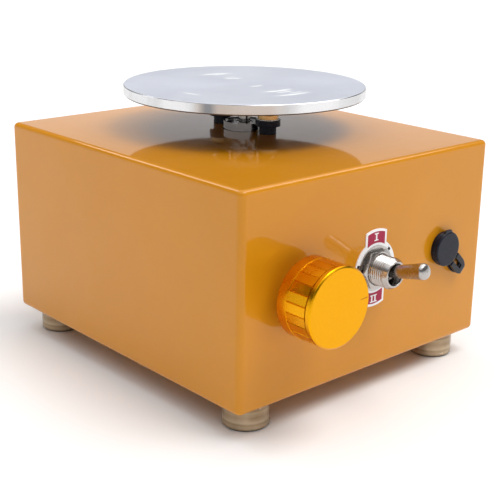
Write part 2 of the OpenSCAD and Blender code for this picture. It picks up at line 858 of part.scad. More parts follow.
module at_board_holes() {
    translate([board_x, board_y, 0]) at_corners(board_w / 2 - board_hole_in, board_d / 2 - board_hole_in) children();
}

module speed_board() {
    color("darkgreen") difference() {
        translate([board_x - board_w / 2, board_y - board_d / 2, board_z]) cube([board_w, board_d, board_t]);
        at_board_holes() translate([0, 0, board_z - over]) cylinder(r = m3_r, h = board_t + 2 * over);
    }
}

// Plastic posts: a screw enters from below, and a snap head holds the board on top
module board_standoffs() {
    snap_h = 1.4;
    color("white") at_board_holes() difference() {
        union() {
            translate([0, 0, plate_top]) cylinder(r = 2.6, h = standoff_h);
            translate([0, 0, plate_top]) cylinder(r = m3_r, h = standoff_h + board_t);
            translate([0, 0, board_z + board_t]) cylinder(r1 = 2, r2 = 1, h = snap_h);
        }
        translate([0, 0, plate_top - over]) cylinder(r = m3_r, h = 3.6 + over);
    }
}

module board_transistor() {
    color("dimgray") translate([board_x - 24, board_y - 4, board_z + board_t]) {
        cube([10, 4.5, 9]);
        translate([0, 3.2, 9]) cube([10, 1.3, 6]);
    }
}

module board_capacitor() {
    color("steelblue") translate([board_x - 2, board_y, board_z + board_t]) cylinder(r = 5, h = 14);
}

module board_terminals() {
    color("green") translate([board_x + 12, board_y - 10, board_z + board_t]) difference() {
        cube([10, 20, 10]);
        for (i = [0:3]) translate([5, 2.5 + 5 * i, 5]) cylinder(r = 1.6, h = 8);
    }
}

// ---------- wires held inside the case ----------

// Gap between a wire's end and the metal that it is soldered to
joint_gap = 0.15;
// Height of the ways into the terminal block, and how far back each of its four ways is
block_x = board_x + 22 + joint_gap;
block_z = board_z + board_t + 4;
function block_y(i) = board_y - 7.5 + 5 * i;

module power_wires() {
    jack_end = panel_y + jack_l + 5 + joint_gap;
    switch_end = panel_y + switch_back + switch_l + 8 + joint_gap;
    side_x = switch_x + 3 + joint_gap;
    side_y = switch_end - 4;
    color("red") {
        wire([
            [jack_x - 3, jack_end, control_z], [jack_x - 3, jack_end + 22, control_z],
            [switch_x, switch_end + 20, control_z + 9], [switch_x, switch_end, control_z + 9]]);
        wire([
            [side_x, side_y, control_z], [side_x + 44, side_y, control_z],
            [block_x + 10, block_y(0), block_z], [block_x, block_y(0), block_z]]);
    }
    color("black") wire([
        [jack_x + 3, jack_end, control_z], [jack_x + 3, jack_end + 45, control_z],
        [block_x + 62, block_y(3), block_z], [block_x, block_y(3), block_z]]);
}

module motor_wires() {
    end_z = top_z + cap_end - 5 - joint_gap;
    color("red") wire([
        [wheel_x + 13, wheel_y, end_z], [wheel_x + 13, wheel_y, end_z - 6],
        [block_x + 26, block_y(1), block_z], [block_x, block_y(1), block_z]]);
    color("black") wire([
        [wheel_x - 13, wheel_y, end_z], [wheel_x - 13, wheel_y, end_z - 9],
        [block_x + 44, block_y(2), block_z + 10], [block_x + joint_gap, block_y(2), block_z]]);
}

module pot_wires() {
    low = control_z - pot_body_r - 9 - joint_gap;
    back = panel_y + sheet_t + 3;
    edge_y = board_y - board_d / 2 - joint_gap;
    edge_x = board_x - board_w / 2 + 8;
    edge_z = board_z + board_t / 2;
    for (i = [-1:1]) color("gray") wire([
        [-knob_x + 5 * i, back, low], [-knob_x + 5 * i, back, low - 20],
        [edge_x + 5 * i, edge_y - 20, edge_z], [edge_x + 5 * i, edge_y, edge_z]]);
}

// ---------- the parts ----------

case_shell();
base_plate();
plate_brackets();
plate_screws();
foot_front_left();
foot_front_right();
foot_back_left();
foot_back_right();
foot_screws();
foot_nuts();
motor_can();
motor_end_cap();
motor_magnets();
motor_brushes();
motor_terminals();
front_bearing();
bearing_seal();
rear_bearing();
motor_grommets();
motor_washers();
motor_screws();
motor_shaft();
rotor_core();
rotor_windings();
commutator();
turntable_disc();
turntable_hub();
hub_screws();
hub_set_screw();
knob();
knob_set_screw();
pot_shaft();
pot_body();
pot_bushing();
pot_nut();
pot_terminals();
toggle_lever();
switch_pivot_pin();
switch_body();
switch_bushing();
switch_back_nut();
switch_washer();
switch_nut();
switch_label();
switch_terminals();
jack_body();
jack_pin();
jack_nut();
jack_terminals();
cap_ring();
cap_strap();
dust_cap();
speed_board();
board_standoffs();
board_transistor();
board_capacitor();
board_terminals();
power_wires();
motor_wires();
pot_wires();
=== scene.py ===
"""Looks of a small electric banding wheel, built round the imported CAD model.

Metres, +Z up, the control panel towards -Y. Pieces on the panel are drawn in millimetres from the centre
of their control.
"""
import bpy
import bmesh
import json
import math
from mathutils import Matrix, Vector


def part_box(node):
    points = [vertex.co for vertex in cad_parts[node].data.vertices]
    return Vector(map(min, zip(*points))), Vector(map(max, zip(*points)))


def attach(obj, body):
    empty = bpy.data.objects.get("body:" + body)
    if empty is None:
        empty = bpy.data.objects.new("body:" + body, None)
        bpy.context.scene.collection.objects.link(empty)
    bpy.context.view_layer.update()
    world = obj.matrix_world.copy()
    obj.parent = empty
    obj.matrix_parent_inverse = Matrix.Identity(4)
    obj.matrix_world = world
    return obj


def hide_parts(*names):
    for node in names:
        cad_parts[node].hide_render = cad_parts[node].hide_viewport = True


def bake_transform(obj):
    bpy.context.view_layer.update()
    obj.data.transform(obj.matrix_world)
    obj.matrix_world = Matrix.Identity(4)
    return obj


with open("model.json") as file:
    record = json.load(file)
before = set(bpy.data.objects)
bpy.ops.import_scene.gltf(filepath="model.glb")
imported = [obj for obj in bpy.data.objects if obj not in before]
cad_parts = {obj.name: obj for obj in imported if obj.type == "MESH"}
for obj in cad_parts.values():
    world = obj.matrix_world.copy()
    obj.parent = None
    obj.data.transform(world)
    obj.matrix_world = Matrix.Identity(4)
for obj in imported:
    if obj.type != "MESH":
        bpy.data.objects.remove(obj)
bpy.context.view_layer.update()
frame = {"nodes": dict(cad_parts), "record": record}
nodes = frame["nodes"]
scene = bpy.context.scene
MM = 0.001
# Radius in millimetres where a turned form closes on its axis
NEAR_AXIS = 0.0001


# ---------- places worked out from the frame ----------

def middle(node):
    """Middle of a CAD node's box."""
    low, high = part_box(node)
    return (Vector(low) + Vector(high)) / 2


WHEEL = middle("turntable_disc")
CASE = middle("case_shell")
PANEL_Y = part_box("case_shell")[0][1]
SWITCH = Vector((middle("switch_nut").x, PANEL_Y, middle("switch_nut").z))
JACK = Vector((middle("jack_nut").x, PANEL_Y, middle("jack_nut").z))
KNOB = Vector((middle("knob").x, PANEL_Y, middle("knob").z))


def on_panel(centre, right, up, out):
    """A point near the control panel, given in millimetres from a control's centre."""
    return centre + Vector((right, -out, up)) * MM


# ---------- camera ----------

def add_camera():
    """Camera at the viewing angle: azimuth and elevation of the line of sight, and a slight roll."""
    azimuth, elevation, roll = (math.radians(a) for a in (-42.038, 17.857, 0.945))
    aim = Vector((-6.03, CASE.y / MM - 10.98, 44.0)) * MM
    distance = 0.450
    flat = math.cos(elevation)
    back = Vector((math.sin(azimuth) * flat, -math.cos(azimuth) * flat, math.sin(elevation)))
    right = Vector((math.cos(azimuth), math.sin(azimuth), 0))
    up = back.cross(right)
    turned_right = right * math.cos(roll) + up * math.sin(roll)
    turned_up = up * math.cos(roll) - right * math.sin(roll)
    data = bpy.data.cameras.new("camera")
    data.lens = 77.86
    data.sensor_width = 36
    data.clip_start = 0.01
    camera = bpy.data.objects.new("camera", data)
    axes = Matrix((turned_right, turned_up, back)).transposed().to_4x4()
    camera.matrix_world = Matrix.Translation(aim + back * distance) @ axes
    scene.collection.objects.link(camera)
    scene.camera = camera


# ---------- studio ----------

def add_area(name, place, aim, size, power):
    """A rectangular light of this size and power, turned towards aim."""
    data = bpy.data.lights.new(name, "AREA")
    data.shape = "RECTANGLE"
    data.size, data.size_y = size
    data.energy = power
    light = bpy.data.objects.new(name, data)
    light.location = place
    light.rotation_euler = (Vector(aim) - Vector(place)).to_track_quat("-Z", "Y").to_euler()
    scene.collection.objects.link(light)


# Brightness of the room by height above the horizon: a white sweep below, a dark gap, soft boxes overhead
SKY = ((0, 0.72), (9.5, 0.72), (14, 0.33), (18, 0.06), (34, 0.05), (46, 0.80), (60, 0.92), (90, 1.0))
SKY_STRENGTH = 1.35


def add_world():
    """The camera sees plain white, and everything else sees the room of SKY."""
    world = bpy.data.worlds.new("studio")
    scene.world = world
    world.use_nodes = True
    tree = world.node_tree
    room = tree.nodes["Background"]
    coordinates = tree.nodes.new("ShaderNodeTexCoord")
    height = tree.nodes.new("ShaderNodeSeparateXYZ")
    tree.links.new(coordinates.outputs["Generated"], height.inputs[0])
    ramp = tree.nodes.new("ShaderNodeValToRGB")
    stops = ramp.color_ramp.elements
    while len(stops) < len(SKY):
        stops.new(0.5)
    for stop, (angle, level) in zip(stops, SKY):
        stop.position = math.sin(math.radians(angle))
        stop.color = (0.985 * level, 0.99 * level, level, 1)
    tree.links.new(height.outputs["Z"], ramp.inputs[0])
    tree.links.new(ramp.outputs[0], room.inputs["Color"])
    room.inputs["Strength"].default_value = SKY_STRENGTH
    white = tree.nodes.new("ShaderNodeBackground")
    white.inputs["Color"].default_value = (1, 1, 1, 1)
    seen = tree.nodes.new("ShaderNodeLightPath")
    either = tree.nodes.new("ShaderNodeMixShader")
    tree.links.new(seen.outputs["Is Camera Ray"], either.inputs[0])
    tree.links.new(room.outputs[0], either.inputs[1])
    tree.links.new(white.outputs[0], either.inputs[2])
    tree.links.new(either.outputs[0], tree.nodes["World Output"].inputs["Surface"])


def add_studio():
    """The room, a white floor, a soft sun and two small panels overhead."""
    add_world()
    scene.view_settings.view_transform = "Standard"
    floor_mesh = bpy.data.meshes.new("floor")
    half = 6.0
    corners = [(-half, -half, 0), (half, -half, 0), (half, half, 0), (-half, half, 0)]
    floor_mesh.from_pydata(corners, [], [(0, 1, 2, 3)])
    floor = bpy.data.objects.new("floor", floor_mesh)
    scene.collection.objects.link(floor)
    kit = Kit("floor_white", (0.93, 0.93, 0.93), 0.7)
    kit.vary("Base Color", (0.92, 0.92, 0.92), (0.94, 0.94, 0.94), 3)
    floor_mesh.materials.append(kit.material)
    data = bpy.data.lights.new("soft_sun", "SUN")
    data.energy = 1.4
    data.angle = math.radians(32)
    data.color = (1, 0.985, 0.965)
    sun = bpy.data.objects.new("soft_sun", data)
    sun.rotation_euler = Vector((-0.26, 0.37, -1)).to_track_quat("-Z", "Y").to_euler()
    scene.collection.objects.link(sun)
    add_area("back_top", (-0.14, 1.0, 1.0), (0, 0, 0.08), (0.4, 0.4), 1.8)
    add_area("right_top", (0.9, -0.28, 1.05), (0, 0, 0.08), (0.4, 0.4), 1.8)


# ---------- materials ----------

class Kit:
    """One node material: a Principled shader with helpers that add detail to it."""

    def __init__(self, name, colour, roughness, metallic=0.0, **settings):
        self.material = bpy.data.materials.new(name)
        self.material.use_nodes = True
        self.tree = self.material.node_tree
        self.shader = self.tree.nodes["Principled BSDF"]
        self.normal = None
        self.set("Base Color", (*colour, 1))
        self.set("Roughness", roughness)
        self.set("Metallic", metallic)
        for key, value in settings.items():
            self.set(key.replace("_", " "), value)

    def set(self, socket, value):
        self.shader.inputs[socket].default_value = value

    def add(self, kind, **inputs):
        node = self.tree.nodes.new(kind)
        for key, value in inputs.items():
            if hasattr(node, key) and key not in node.inputs:
                setattr(node, key, value)
            else:
                self.feed(node.inputs[key], value)
        return node

    def feed(self, socket, value):
        if isinstance(value, bpy.types.NodeSocket):
            self.tree.links.new(value, socket)
        else:
            socket.default_value = value

    def place(self, offset=(0, 0, 0), stretch=(1, 1, 1)):
        """Object coordinates in metres, moved by offset and stretched."""
        coordinates = self.add("ShaderNodeTexCoord").outputs["Object"]
        moved = self.add("ShaderNodeVectorMath", operation="SUBTRACT")
        self.feed(moved.inputs[0], coordinates)
        moved.inputs[1].default_value = offset
        scaled = self.add("ShaderNodeVectorMath", operation="MULTIPLY")
        self.feed(scaled.inputs[0], moved.outputs[0])
        scaled.inputs[1].default_value = stretch
        return scaled.outputs[0]

    def noise(self, scale, detail, stretch=(1, 1, 1)):
        node = self.add("ShaderNodeTexNoise", Scale=scale, Detail=detail)
        self.feed(node.inputs["Vector"], self.place(stretch=stretch))
        return node.outputs["Fac"]

    def math(self, operation, first, second=None):
        node = self.add("ShaderNodeMath", operation=operation)
        self.feed(node.inputs[0], first)
        if second is not None:
            self.feed(node.inputs[1], second)
        return node.outputs[0]

    def spread(self, value, low, high, start=0.3, end=0.7):
        """Maps value from start..end to low..high."""
        node = self.add("ShaderNodeMapRange")
        self.feed(node.inputs["Value"], value)
        node.inputs["From Min"].default_value = start
        node.inputs["From Max"].default_value = end
        node.inputs["To Min"].default_value = low
        node.inputs["To Max"].default_value = high
        return node.outputs["Result"]

    def mix(self, factor, low, high):
        """Mixes two colours by factor."""
        node = self.add("ShaderNodeMix", data_type="RGBA")
        self.feed(node.inputs[0], factor)
        for index, value in ((6, low), (7, high)):
            self.feed(node.inputs[index], (*value, 1) if isinstance(value, tuple) else value)
        return node.outputs[2]

    def blend(self, factor, low, high):
        """Mixes two values by factor."""
        node = self.add("ShaderNodeMix", data_type="FLOAT")
        for index, value in ((0, factor), (2, low), (3, high)):
            self.feed(node.inputs[index], value)
        return node.outputs[0]

    def vary(self, socket, low, high, scale, stretch=(1, 1, 1)):
        """A soft noise takes the socket from low to high."""
        factor = self.spread(self.noise(scale, 3.0, stretch), 0, 1)
        if isinstance(low, tuple):
            self.feed(self.shader.inputs[socket], self.mix(factor, low, high))
        else:
            self.feed(self.shader.inputs[socket], self.spread(factor, low, high, 0, 1))

    def round_edges(self, radius):
        """Softens the shading of sharp edges by this radius, in metres."""
        node = self.add("ShaderNodeBevel", samples=4, Radius=radius)
        self.normal = node.outputs["Normal"]
        self.feed(self.shader.inputs["Normal"], self.normal)

    def bump(self, height, distance, strength):
        """Bump of this depth in metres where height goes from 0 to 1."""
        node = self.add("ShaderNodeBump", Strength=strength, Distance=distance)
        self.feed(node.inputs["Height"], height)
        if self.normal is not None:
            self.feed(node.inputs["Normal"], self.normal)
        self.normal = node.outputs["Normal"]
        self.feed(self.shader.inputs["Normal"], self.normal)

    def radius_from(self, centre, axis):
        """Distance in metres from a line through centre along axis 'Y' or 'Z'."""
        stretch = {"Z": (1, 1, 0), "Y": (1, 0, 1)}[axis]
        length = self.add("ShaderNodeVectorMath", operation="LENGTH")
        self.feed(length.inputs[0], self.place(centre, stretch))
        return length.outputs["Value"]


def paint():
    """Glossy orange-gold stoving paint under a clear coat, with a faint orange peel."""
    kit = Kit("paint", (0.635, 0.247, 0.003), 0.5, Coat_Weight=1.0, Coat_Roughness=0.05, Coat_IOR=1.38)
    kit.set("Specular IOR Level", 0.1)
    kit.vary("Base Color", (0.622, 0.240, 0.003), (0.648, 0.254, 0.004), 18)
    kit.vary("Roughness", 0.45, 0.55, 60)
    kit.bump(kit.noise(700, 1.0), 0.00001, 0.4)
    return kit.material


# Short bright arcs on the disc's face: radius in millimetres, start and end angle in degrees, width in
# millimetres. Partly turning marks, partly painted highlights; they turn with the disc.
TURNING_MARKS_AND_PAINTED_GLINTS = ((27.6, 58, 94, 2.6), (25.0, 66, 84, 1.4), (13.8, 52, 90, 2.6), (8.0, -120, -66, 2.4),
             (22.0, -116, -72, 3.0), (25.4, -104, -82, 1.6), (31.6, -112, -75, 2.8), (28.6, -96, -78, 1.2),
             (34.5, -178, -160, 1.6), (17.5, 60, 80, 1.2))

# Painted reflections round the disc's rim, listed in the same way: start and end angle and width of the
# fade in degrees, colour
RIM_PAINTED_REFLECTIONS = ((-156, -128, 6, (0.50, 0.43, 0.38)), (-140, -112, 8, (0.56, 0.49, 0.44)),
             (-113, -84, 8, (0.80, 0.80, 0.81)), (-152, -143, 3.5, (0.24, 0.24, 0.25)),
             (-175, -153, 6, (0.78, 0.78, 0.79)))


def turned_disc():
    """Turned aluminium: very fine rings on its face with bright arcs, partly painted highlights; a smooth rim
    with painted reflections and a painted dark edge; an underside painted dark for shade.
    """
    kit = Kit("disc_aluminium", (0.80, 0.83, 0.88), 0.36, 0.5, Anisotropic=0.5)
    tangent = kit.add("ShaderNodeTangent", direction_type="RADIAL", axis="Z")
    kit.feed(kit.shader.inputs["Tangent"], tangent.outputs[0])
    radius = kit.radius_from(WHEEL, "Z")
    place = kit.add("ShaderNodeSeparateXYZ")
    kit.feed(place.inputs[0], kit.place(WHEEL))
    angle = kit.math("ARCTAN2", place.outputs["Y"], place.outputs["X"])
    rings = kit.add("ShaderNodeTexNoise", noise_dimensions="1D", Detail=4.0)
    kit.feed(rings.inputs["W"], kit.math("MULTIPLY", radius, 2600.0))
    patches = kit.spread(kit.noise(38, 3), 0, 1, 0.40, 0.62)
    tone = kit.math("MULTIPLY", kit.spread(rings.outputs["Fac"], 0, 1, 0.30, 0.75), patches)
    face = kit.mix(tone, (0.70, 0.73, 0.82), (0.80, 0.83, 0.91))
    arcs = None
    # Bright arcs on the face, mixed towards white below: partly turning marks, partly painted highlights
    for arc_radius, start, end, width in TURNING_MARKS_AND_PAINTED_GLINTS:
        off = kit.math("ABSOLUTE", kit.math("SUBTRACT", radius, arc_radius * MM))
        across = kit.spread(off, 1, 0, width * 0.15 * MM, width * 0.55 * MM)
        half = math.radians((end - start) / 2)
        turn = kit.math("ABSOLUTE", kit.math("SUBTRACT", angle, math.radians((start + end) / 2)))
        along = kit.spread(turn, 1, 0, half * 0.45, half)
        mark = kit.math("MULTIPLY", across, along)
        arcs = mark if arcs is None else kit.math("MAXIMUM", arcs, mark)
    arcs = kit.math("MULTIPLY", arcs, kit.spread(kit.noise(260, 2), 0.7, 1, 0.35, 0.6))
    face = kit.mix(arcs, face, (1.0, 1.0, 1.0))
    low, high = (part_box("turntable_disc")[i][2] - WHEEL.z for i in (0, 1))
    turn_tone = kit.add("ShaderNodeTexNoise", noise_dimensions="1D", Scale=2.2, Detail=1.5)
    kit.feed(turn_tone.inputs["W"], angle)
    rim_factor = kit.spread(turn_tone.outputs["Fac"], 0, 1, 0.38, 0.60)
    rim = kit.mix(rim_factor, (0.56, 0.555, 0.56), (0.72, 0.73, 0.745))
    # Light and dark bands round the rim: painted reflections
    for start, end, fade, shade in RIM_PAINTED_REFLECTIONS:
        turn = kit.math("ABSOLUTE", kit.math("SUBTRACT", angle, math.radians((start + end) / 2)))
        half = math.radians((end - start) / 2)
        rim = kit.mix(kit.spread(turn, 1, 0, max(half - math.radians(fade), 0), half), rim, shade)
    height = place.outputs["Z"]
    on_top = kit.spread(height, 0, 1, high - 0.00012, high - 0.00004)
    # A narrow band on the edge just below the face is painted dark grey: a painted reflection of a dark part
    # of the room
    on_painted_dark_edge = kit.spread(height, 0, 1, high - 0.00036, high - 0.00030)
    above = kit.spread(height, 0, 1, low + 0.00045, low + 0.00055)
    painted_edge_factor = kit.spread(turn_tone.outputs["Fac"], 0, 1, 0.40, 0.55)
    edge = kit.mix(painted_edge_factor, (0.16, 0.16, 0.17), (0.45, 0.45, 0.46))
    # Painted shade: the underside is dark and matt, so that the disc's mirror image in the case top looks
    # amber
    underside, underside_roughness, rim_roughness = (0.13, 0.11, 0.09), 0.7, 0.22
    colour = kit.mix(above, underside, rim)
    colour = kit.mix(on_painted_dark_edge, colour, edge)
    kit.feed(kit.shader.inputs["Base Color"], kit.mix(on_top, colour, face))
    top_metal = kit.math("MULTIPLY", kit.math("SUBTRACT", 1.0, kit.spread(arcs, 0, 1, 0, 0.9)), 0.5)
    lower_metal = kit.math("MULTIPLY", above, 0.92)
    kit.feed(kit.shader.inputs["Metallic"], kit.blend(on_top, lower_metal, top_metal))
    top_roughness = kit.spread(rings.outputs["Fac"], 0.30, 0.44)
    lower_roughness = kit.spread(above, underside_roughness, rim_roughness, 0, 1)
    kit.feed(kit.shader.inputs["Roughness"], kit.blend(on_top, lower_roughness, top_roughness))
    kit.set("Specular IOR Level", 0.3)
    kit.bump(rings.outputs["Fac"], 0.000010, 0.5)
    return kit.material


def anodised():
    """Gold-anodised aluminium: satin, with fine turning rings on the knob's face."""
    kit = Kit("knob_anodised", (0.82, 0.37, 0.007), 0.28, 1.0)
    place = kit.add("ShaderNodeSeparateXYZ")
    kit.feed(place.inputs[0], kit.place(KNOB))
    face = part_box("knob")[0][1] - KNOB.y
    on_face = kit.spread(place.outputs["Y"], 1, 0, face + 0.0001, face + 0.0003)
    rings = kit.add("ShaderNodeTexNoise", noise_dimensions="1D", Detail=3.0)
    kit.feed(rings.inputs["W"], kit.math("MULTIPLY", kit.radius_from(KNOB, "Y"), 3000.0))
    tone = kit.blend(on_face, kit.noise(220, 2), rings.outputs["Fac"])
    kit.feed(kit.shader.inputs["Roughness"], kit.spread(tone, 0.24, 0.34))
    kit.feed(kit.shader.inputs["Base Color"], kit.mix(tone, (0.79, 0.355, 0.004), (0.84, 0.385, 0.006)))
    kit.round_edges(0.00008)
    kit.bump(kit.math("MULTIPLY", rings.outputs["Fac"], on_face), 0.000005, 0.3)
    return kit.material


def metal(name, colour, roughness, spread=0.05, stretch=(1, 1, 1)):
    """Plated or turned metal with a slightly uneven finish."""
    scale = 400
    kit = Kit(name, colour, roughness, 1.0)
    kit.vary("Roughness", roughness - spread, roughness + spread, scale, stretch=stretch)
    kit.vary("Base Color", tuple(0.94 * c for c in colour), colour, scale / 4, stretch=stretch)
    kit.round_edges(0.0001)
    kit.bump(kit.noise(scale * 3, 2, stretch=stretch), 0.000004, 0.4)
    return kit.material


def rubber(name, colour, roughness, grain=0.00002, edge=0.0002, specular=0.5):
    """Moulded rubber or plastic with a fine matt grain."""
    scale = 1800
    kit = Kit(name, colour, roughness)
    kit.set("Specular IOR Level", specular)
    kit.vary("Base Color", tuple(0.85 * c for c in colour), tuple(1.15 * c for c in colour), scale / 8)
    kit.vary("Roughness", roughness - 0.06, roughness + 0.06, scale / 3)
    kit.round_edges(edge)
    kit.bump(kit.noise(scale, 2), grain, 0.5)
    return kit.material


def gloss_rubber():
    """The same black rubber where it is moulded smooth and shines."""
    kit = Kit("gloss_rubber", (0.005, 0.006, 0.013), 0.3, Coat_Weight=0.8, Coat_Roughness=0.08, Coat_IOR=1.32)
    kit.vary("Coat Roughness", 0.06, 0.12, 500)
    kit.set("Specular IOR Level", 0.1)
    kit.round_edges(0.0003)
    return kit.material


def foot_rubber():
    """Bronze-brown moulded rubber, polished, with faint bands round it and a dark lower rim."""
    kit = Kit("foot_rubber", (0.42, 0.32, 0.19), 0.22, 0.55)
    height = kit.add("ShaderNodeSeparateXYZ")
    kit.feed(height.inputs[0], kit.place())
    rise = kit.spread(height.outputs["Z"], 0, 1, 0.0003, 0.0012)
    bands = kit.add("ShaderNodeTexNoise", noise_dimensions="1D", Scale=420.0, Detail=1.0)
    kit.feed(bands.inputs["W"], height.outputs["Z"])
    banding = kit.math("MULTIPLY", bands.outputs["Fac"], 0.7)
    cloud = kit.math("ADD", banding, kit.math("MULTIPLY", kit.noise(160, 3), 0.3))
    body = kit.mix(kit.spread(cloud, 0, 1, 0.38, 0.62), (0.27, 0.18, 0.095), (0.53, 0.42, 0.28))
    kit.feed(kit.shader.inputs["Base Color"], kit.mix(rise, (0.09, 0.06, 0.04), body))
    kit.vary("Roughness", 0.18, 0.28, 300)
    kit.round_edges(0.0004)
    kit.bump(bands.outputs["Fac"], 0.00006, 0.5)
    return kit.material


def label_plate():
    """White printed plate of the switch."""
    kit = Kit("label_print", (0.95, 0.95, 0.96), 0.45)
    kit.vary("Base Color", (0.93, 0.93, 0.95), (0.97, 0.97, 0.98), 600)
    kit.set("Specular IOR Level", 0.3)
    return kit.material


def ink(name, colour):
    """Printed ink on the label: nearly flat, satin, a little uneven."""
    kit = Kit(name, colour, 0.5)
    kit.set("Specular IOR Level", 0.25)
    kit.vary("Base Color", tuple(0.92 * c for c in colour), tuple(min(1.05 * c, 1) for c in colour), 900)
    return kit.material


MATERIALS = {
    "paint": paint,
    "disc_aluminium": turned_disc,
    "hub_steel": lambda: metal("hub_steel", (0.60, 0.59, 0.57), 0.28),
    "knob_anodised": anodised,
    "nickel": lambda: metal("nickel", (0.49, 0.465, 0.445), 0.26, 0.04),
    "zinc": lambda: metal("zinc", (0.70, 0.70, 0.70), 0.28),
    "black_steel": lambda: metal("black_steel", (0.06, 0.06, 0.065), 0.35),
    "motor_steel": lambda: metal("motor_steel", (0.42, 0.41, 0.40), 0.16),
    "bearing_steel": lambda: metal("bearing_steel", (0.72, 0.72, 0.73), 0.15),
    "shaft_steel": lambda: metal("shaft_steel", (0.66, 0.64, 0.60), 0.18, stretch=(1, 1, 20)),
    "black_rubber": lambda: rubber("black_rubber", (0.006, 0.007, 0.016), 0.24, 0.000006, edge=0.00035,
                                   specular=0.24),
    "foot_rubber": foot_rubber,
    "black_plastic": lambda: rubber("black_plastic", (0.03, 0.03, 0.034), 0.42),
    "brass_screw": lambda: metal("brass_screw", (0.72, 0.47, 0.20), 0.25),
    "label_print": label_plate,
    "switch_plastic": lambda: rubber("switch_plastic", (0.25, 0.04, 0.03), 0.3),
    "contact_metal": lambda: metal("contact_metal", (0.75, 0.60, 0.35), 0.28),
    "magnet": lambda: rubber("magnet", (0.10, 0.10, 0.11), 0.5),
    "carbon": lambda: rubber("carbon", (0.04, 0.04, 0.04), 0.55),
    "laminations": lambda: metal("laminations", (0.42, 0.42, 0.43), 0.4, stretch=(0.05, 0.05, 8)),
    "copper": lambda: metal("copper", (0.80, 0.38, 0.20), 0.25, stretch=(1, 1, 0.2)),
    "board": lambda: rubber("board", (0.02, 0.16, 0.05), 0.3),
    "standoff_plastic": lambda: rubber("standoff_plastic", (0.8, 0.8, 0.78), 0.45),
    "capacitor": lambda: rubber("capacitor", (0.03, 0.07, 0.2), 0.3),
    "terminal_plastic": lambda: rubber("terminal_plastic", (0.03, 0.3, 0.08), 0.4),
    "wire_insulation": lambda: rubber("wire_insulation", (0.35, 0.03, 0.03), 0.4),
}


def dress_nodes():
    """Gives every CAD node the material of its slot."""
    made = {slot: build() for slot, build in MATERIALS.items()}
    for row in frame["record"]["subparts"]:
        mesh = nodes[row["node"]].data
        mesh.materials.clear()
        mesh.materials.append(made[row["material_slot"]])
    return made


# ---------- new pieces ----------

def make_piece(name, points, faces, material, body, stands_for=(), crease=32):
    """A mesh object in the shared frame that rides on a body. Edges sharper than crease, in degrees, stay
    sharp. It takes the material given, and replaces the CAD nodes that it stands for."""
    mesh = bpy.data.meshes.new(name)
    mesh.from_pydata([tuple(p) for p in points], [], faces)
    work = bmesh.new()
    work.from_mesh(mesh)
    bmesh.ops.remove_doubles(work, verts=work.verts, dist=1e-7)
    bmesh.ops.recalc_face_normals(work, faces=work.faces)
    for face in work.faces:
        face.smooth = True
    for edge in work.edges:
        if len(edge.link_faces) == 2 and edge.calc_face_angle(0) > math.radians(crease):
            edge.smooth = False
    work.to_mesh(mesh)
    work.free()
    mesh.materials.append(material)
    piece = bpy.data.objects.new(name, mesh)
    scene.collection.objects.link(piece)
    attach(piece, body)
    if stands_for:
        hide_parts(*stands_for)
    return piece


def soften(piece, width, segments=4):
    """Rounds the piece's sharp edges by width, in millimetres, for good."""
    bevel = piece.modifiers.new("soft", "BEVEL")
    bevel.width = width * MM
    bevel.segments = segments
    bevel.limit_method = "ANGLE"
    bevel.angle_limit = math.radians(50)
    bpy.context.view_layer.update()
    shaped = piece.evaluated_get(bpy.context.evaluated_depsgraph_get())
    done = bpy.data.meshes.new_from_object(shaped)
    piece.modifiers.clear()
    piece.data = done
    for face in done.polygons:
        face.use_smooth = True


def turned(centre, rows, segments=96, closed=True):
    """Points and faces of a form swept round an axis out of the panel. Each row is (radius, out) in
    millimetres, or a function that gives it at an angle in degrees. A closed form joins its last row to
    its first."""
    points, faces = [], []
    for k in range(segments):
        turn = 360 * k / segments
        across, up = math.cos(math.radians(turn)), math.sin(math.radians(turn))
        for row in rows:
            radius, out = row(turn) if callable(row) else row
            points.append(on_panel(centre, radius * across, radius * up, out))
    count = len(rows)
    for k in range(segments):
        here, there = k * count, (k + 1) % segments * count
        for i in range(count if closed else count - 1):
            j = (i + 1) % count
            faces.append((here + i, here + j, there + j, there + i))
    return points, faces


def arc(centre_r, centre_out, radius, start, end, steps=5):
    """Rows along a rounded edge; angles in degrees, 0 points away from the axis and 90 out of the panel."""
    rows = []
    for i in range(steps + 1):
        angle = math.radians(start + (end - start) * i / steps)
        rows.append((centre_r + radius * math.cos(angle), centre_out + radius * math.sin(angle)))
    return rows


def plate(centre, outline, low, high):
    """Points and faces of a flat plate on the panel, from its outline in millimetres."""
    count = len(outline)
    points = [on_panel(centre, x, y, out) for out in (low, high) for x, y in outline]
    faces = [tuple(range(count)), tuple(range(count, 2 * count))]
    faces += [(i, (i + 1) % count, count + (i + 1) % count, count + i) for i in range(count)]
    return points, faces


def add_bushing(material):
    """Threaded bushing of the switch, with a chamfered mouth."""
    bore, outer, face, back = 4.3, 6.0, 5.0, -4.5
    start, stop, out, pitch, depth, steps = 2.6, 9.2, 10.75, 1.0, 0.42, 8
    run_in, run_out = 0.8, 0.4

    def thread(z):
        def row(turn):
            fade = min(1, (z - start) / run_in, (stop - z) / run_out)
            wave = (z / pitch - turn / 360) % 1
            return outer - depth * max(fade, 0) * (1 - abs(2 * wave - 1)), z
        return row

    count = round((stop - start) / pitch * steps)
    rows = [(bore, back), (outer, back), (outer, start)]
    rows += [thread(start + (stop - start) * i / count) for i in range(1, count)]
    rows += [(outer, stop), (face + 0.1, out - 0.15)] + arc(face - 0.1, out - 0.2, 0.2, 30, 90, 3)
    rows += arc(bore + 0.15, out - 0.15, 0.15, 90, 180, 3)
    points, faces = turned(SWITCH, rows)
    make_piece("switch_bushing_threaded", points, faces, material, "base", ("switch_bushing",), 50)


